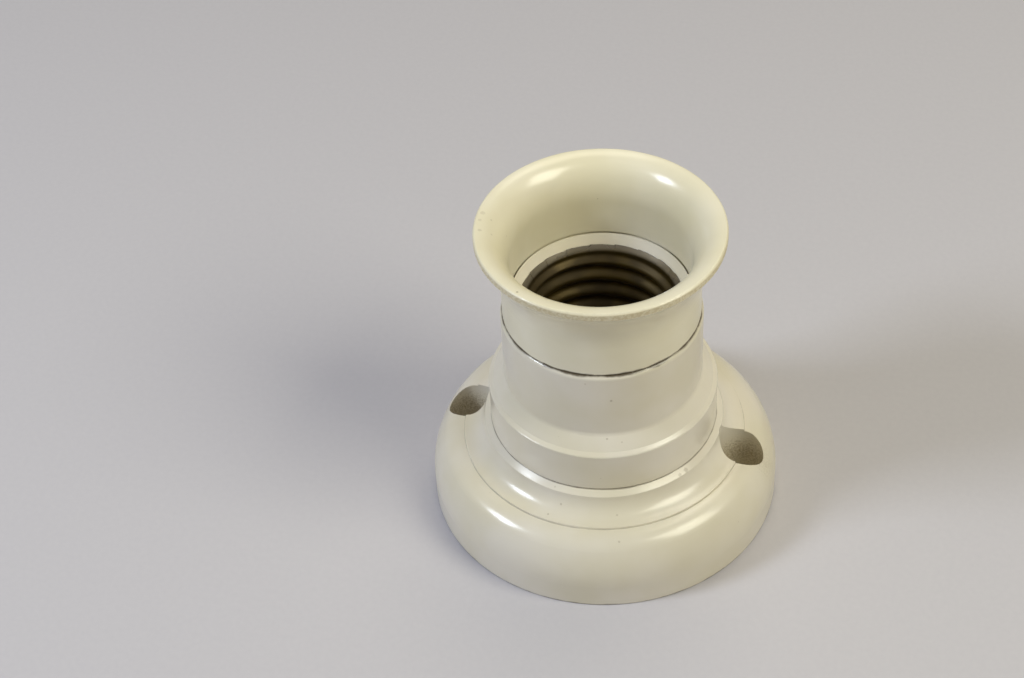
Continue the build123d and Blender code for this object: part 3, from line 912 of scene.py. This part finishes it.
    def extrude_ring(self, start: tuple[float, float], end: tuple[float, float]) -> None:
        """Extrude the selected edges to a new radius and height.

        Args:
            start: Radius and height of the selected edges, in millimetres.
            end: Radius and height of the new ones.
        """
        bpy.ops.mesh.extrude_region_move(TRANSFORM_OT_translate={"value": (0, 0, (end[1] - start[1]) * MM)})
        grow = end[0] / start[0]
        bpy.ops.transform.resize(value=(grow, grow, 1), center_override=(0, 0, 0))


@dataclass(frozen=True)
class StudioCamera:
    """The photograph's view, found from the holder's round edges."""

    azimuth_deg: float = 18.3
    elevation_deg: float = 43.81
    roll_deg: float = -3.59
    distance: float = 0.34938
    aim: tuple[float, float, float] = (-0.014975, -0.004952, 0.036052)
    lens: float = 70.31

    def place(self) -> None:
        """Add the camera and make it the scene's own."""
        back = direction(self.azimuth_deg, self.elevation_deg)
        turn = back.to_track_quat("Z", "Y") @ Euler((0, 0, math.radians(self.roll_deg))).to_quaternion()
        data = bpy.data.cameras.new("camera")
        data.lens = self.lens
        data.clip_start, data.clip_end = 0.01, 20.0
        camera = bpy.data.objects.new("camera", data)
        camera.location = Vector(self.aim) + self.distance * back
        camera.rotation_mode = "QUATERNION"
        camera.rotation_quaternion = turn
        bpy.context.scene.collection.objects.link(camera)
        bpy.context.scene.camera = camera


def direction(azimuth_deg: float, elevation_deg: float) -> Vector:
    """Give the unit vector towards an azimuth, counted from -Y towards +X, and an elevation.

    Args:
        azimuth_deg: Turn about the lamp's axis.
        elevation_deg: Height over the floor.

    Returns:
        The vector.
    """
    azimuth, elevation = math.radians(azimuth_deg), math.radians(elevation_deg)
    return Vector((math.sin(azimuth) * math.cos(elevation),
                   -math.cos(azimuth) * math.cos(elevation),
                   math.sin(elevation)))


@dataclass(frozen=True)
class SoftLight:
    """A square soft box that faces the holder."""

    name: str
    azimuth_deg: float
    elevation_deg: float
    width: float
    watts: float
    tint: str
    distance: float = 0.7
    aim_height: float = 0.03

    def place(self) -> None:
        """Add the light, turned towards the holder's middle."""
        back = direction(self.azimuth_deg, self.elevation_deg)
        data = bpy.data.lights.new(self.name, "AREA")
        data.shape = "SQUARE"
        data.size = self.width
        data.energy = self.watts
        data.color = linear(self.tint)[:3]
        light = bpy.data.objects.new(self.name, data)
        light.location = back * self.distance + Vector((0, 0, self.aim_height))
        light.rotation_mode = "QUATERNION"
        light.rotation_quaternion = back.to_track_quat("Z", "Y")
        bpy.context.scene.collection.objects.link(light)


@dataclass
class Studio:
    """Plain pale floor, even surroundings, soft boxes and the camera."""

    floor_grey: str = "#C8C5CA"
    floor_grain: str = "#C2BFC5"
    surround: str = "#BDBABB"
    grain_mm: float = 10 / 9
    # Past the lights' reach the floor is shown as pale as the surroundings, to camera, gloss and glass alone
    fade_mm: tuple[float, float] = (280.0, 800.0)
    surround_strength: float = 0.1
    floor_width: float = 6.0
    lights: tuple[SoftLight, ...] = (
        SoftLight("left_soft_box", -60.0, 38.0, width=0.17, watts=2.45, tint="#E9F2FF"),
        SoftLight("front_soft_box", -5.0, 55.0, width=0.8, watts=0.45, tint="#FAFCFF"),
        SoftLight("right_soft_box", 78.0, 46.0, width=0.34, watts=2.7, tint="#FFFCE6"),
        SoftLight("back_soft_box", 180.0, 66.0, width=0.35, watts=1.15, tint="#FFF6DC"),
    )
    camera: StudioCamera = field(default_factory=StudioCamera)

    def build(self) -> None:
        """Add the floor, the surroundings, the lights and the camera."""
        self.lay_floor()
        self.set_surroundings()
        for light in self.lights:
            light.place()
        self.camera.place()

    def lay_floor(self) -> None:
        """Add the pale floor under the holder."""
        deselect_all()
        bpy.ops.mesh.primitive_plane_add(size=self.floor_width, location=(0, 0, 0))
        floor = bpy.context.object
        floor.name = "floor"
        made, tree = new_tree("pale_floor")
        grain = add_node(tree, NOISE, None, {"Vector": millimetre_coordinates(tree),
                                             "Scale": 1 / self.grain_mm, "Detail": 3.0})
        colour = add_node(tree, MIX, COLOURS,
                          {SHARE: grain, UNDER: linear(self.floor_grey), OVER: linear(self.floor_grain)})
        shine = add_node(tree, "ShaderNodeBsdfPrincipled", None,
                         {"Base Color": colour, "Roughness": 0.9, "IOR": 1.4})
        pale = add_node(tree, "ShaderNodeEmission", None, {"Color": linear(self.surround)})
        away = add_node(tree, VECTOR, {"operation": "LENGTH"}, {0: millimetre_coordinates(tree)})
        near_mm, far_mm = self.fade_mm
        far = add_node(tree, SPREAD, SMOOTH, {0: away, FROM_LOW: near_mm, FROM_HIGH: far_mm})
        share = add_node(tree, MATH, PRODUCT, {0: far, 1: self.seen_share(tree)})
        both = add_node(tree, "ShaderNodeMixShader", None, {0: share, 1: shine, 2: pale})
        add_node(tree, "ShaderNodeOutputMaterial", None, {"Surface": both})
        floor.data.materials.append(made)

    def seen_share(self, tree: bpy.types.NodeTree) -> bpy.types.Node:
        """Give 1 for what the camera, gloss and glass see, and 0 for light that only falls on things.

        Args:
            tree: The node tree of the floor or the world.

        Returns:
            The node that gives the share.
        """
        rays = add_node(tree, "ShaderNodeLightPath")
        seen = add_node(tree, MATH, LARGER,
                        {0: rays.outputs["Is Camera Ray"], 1: rays.outputs["Is Glossy Ray"]})
        return add_node(tree, MATH, LARGER, {0: seen, 1: rays.outputs["Is Transmission Ray"]})

    def set_surroundings(self) -> None:
        """Light the scene evenly, and show a pale background to the camera and to gloss."""
        world = bpy.data.worlds.new("surroundings")
        world.use_nodes = True
        bpy.context.scene.world = world
        tree = world.node_tree
        tree.nodes.clear()
        seen = self.seen_share(tree)
        light = add_node(tree, "ShaderNodeBackground", None,
                         {"Color": (1, 1, 1, 1), "Strength": self.surround_strength})
        shown = add_node(tree, "ShaderNodeBackground", None,
                         {"Color": linear(self.surround), "Strength": 1.0})
        both = add_node(tree, "ShaderNodeMixShader", None, {0: seen, 1: light, 2: shown})
        add_node(tree, "ShaderNodeOutputWorld", None, {"Surface": both})


@dataclass
class CarriedNodes:
    """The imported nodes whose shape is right, each given its material."""

    finishes: dict[str, tuple[str, ...]]
    own: dict[str, bpy.types.Material]

    def dress(self, nodes: dict[str, bpy.types.Object], materials: dict[str, bpy.types.Material]) -> None:
        """Give each node its finish.

        Args:
            nodes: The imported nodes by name.
            materials: The materials by their slot's name.
        """
        for slot, names in self.finishes.items():
            for name in names:
                data = nodes[name].data
                data.materials.clear()
                data.materials.append(self.own.get(name, materials[slot]))
                log.info("%s dressed in %s", name, slot)


def build_materials() -> dict[str, bpy.types.Material]:
    """Build the finish of each of the record's material slots.

    Returns:
        The materials by their slot's name.
    """
    return {
        "cream_moulding": MouldedUrea(marks=BODY_MARKS).material(),
        "steatite": FiredSteatite().material(),
        # Turned steel under bright zinc: a plain light grey, duller in patches
        "zinc_plated_steel": WorkedMetal("zinc_plated_steel_turned", "#C9CAC6", "#A3A49C", 0.3).material(),
        # Stamped brass: yellow where it was rubbed, brown where it has tarnished
        "brass": WorkedMetal("brass_stamped", "#D0B06A", "#8F6F3C", 0.3).material(),
        # Rolled spring strip: pinker than the brass, with fine lines along the roll
        "phosphor_bronze": WorkedMetal("phosphor_bronze_rolled", "#BE9264", "#84613F", 0.28,
                                       line_mm=(2.0, 0.06, 2.0)).material(),
        # Rolled brass whose nickel has darkened to brown under a film that is only partly metallic, and which
        # is still grey on the mouth. Its dark brown is part tarnish and part painted shade deep in the shell.
        "nickel_plated_brass": WorkedMetal("nickel_plated_brass_rolled", "#42350F", "#33280B", 0.4,
                                           patch_mm=5.0, patch_detail=1.0, stain=0.8, metallic=0.6,
                                           bare="#7A7264", bare_from_mm=43.3).material(),
    }


def skirt_finish() -> MouldedUrea:
    """Give the skirt ring's finish: a paler, yellower cream, painted light for its bell, and a rubbed band
    round its lip.

    Returns:
        The finish.
    """
    in_from_lip_mm, band_low_mm, band_high_mm = 0.35, 1.3, 0.2
    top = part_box("skirt_ring")[1]
    lip_mm, rim_mm = top[0] / MM, top[2] / MM
    # The paler, yellower cream is painted light that brightens the inside of the bell
    return MouldedUrea(name="cream_urea_skirt", cream="#EAE3CC", aged="#E3DBBE", marks=SKIRT_MARKS,
                       flash_radius_mm=lip_mm - in_from_lip_mm,
                       flash_mm=(rim_mm - band_low_mm, rim_mm - band_high_mm))


def main() -> None:
    """Build every class in order."""
    bpy.context.scene.view_settings.view_transform = "Standard"
    materials = build_materials()
    slots: dict[str, tuple[str, ...]] = {}
    for part in frame["record"]["subparts"]:
        slots[part["material_slot"]] = (*slots.get(part["material_slot"], ()), part["node"])
    own = {"skirt_ring": skirt_finish().material()}
    CarriedNodes(slots, own).dress(frame["nodes"], materials)
    threads = MouldedThreads(collar_mm=17.81, body_bore_mm=18.41, spigot_mm=15.55, skirt_bore_mm=16.15,
                             ledge_mm=18.0, joint_mm=42.7)
    threads.build(materials["cream_moulding"])
    ScrewShell().build(materials["nickel_plated_brass"])
    Studio().build()
    log.info("floor, surroundings, lights and camera placed")


if __name__ == "__main__":
    main()
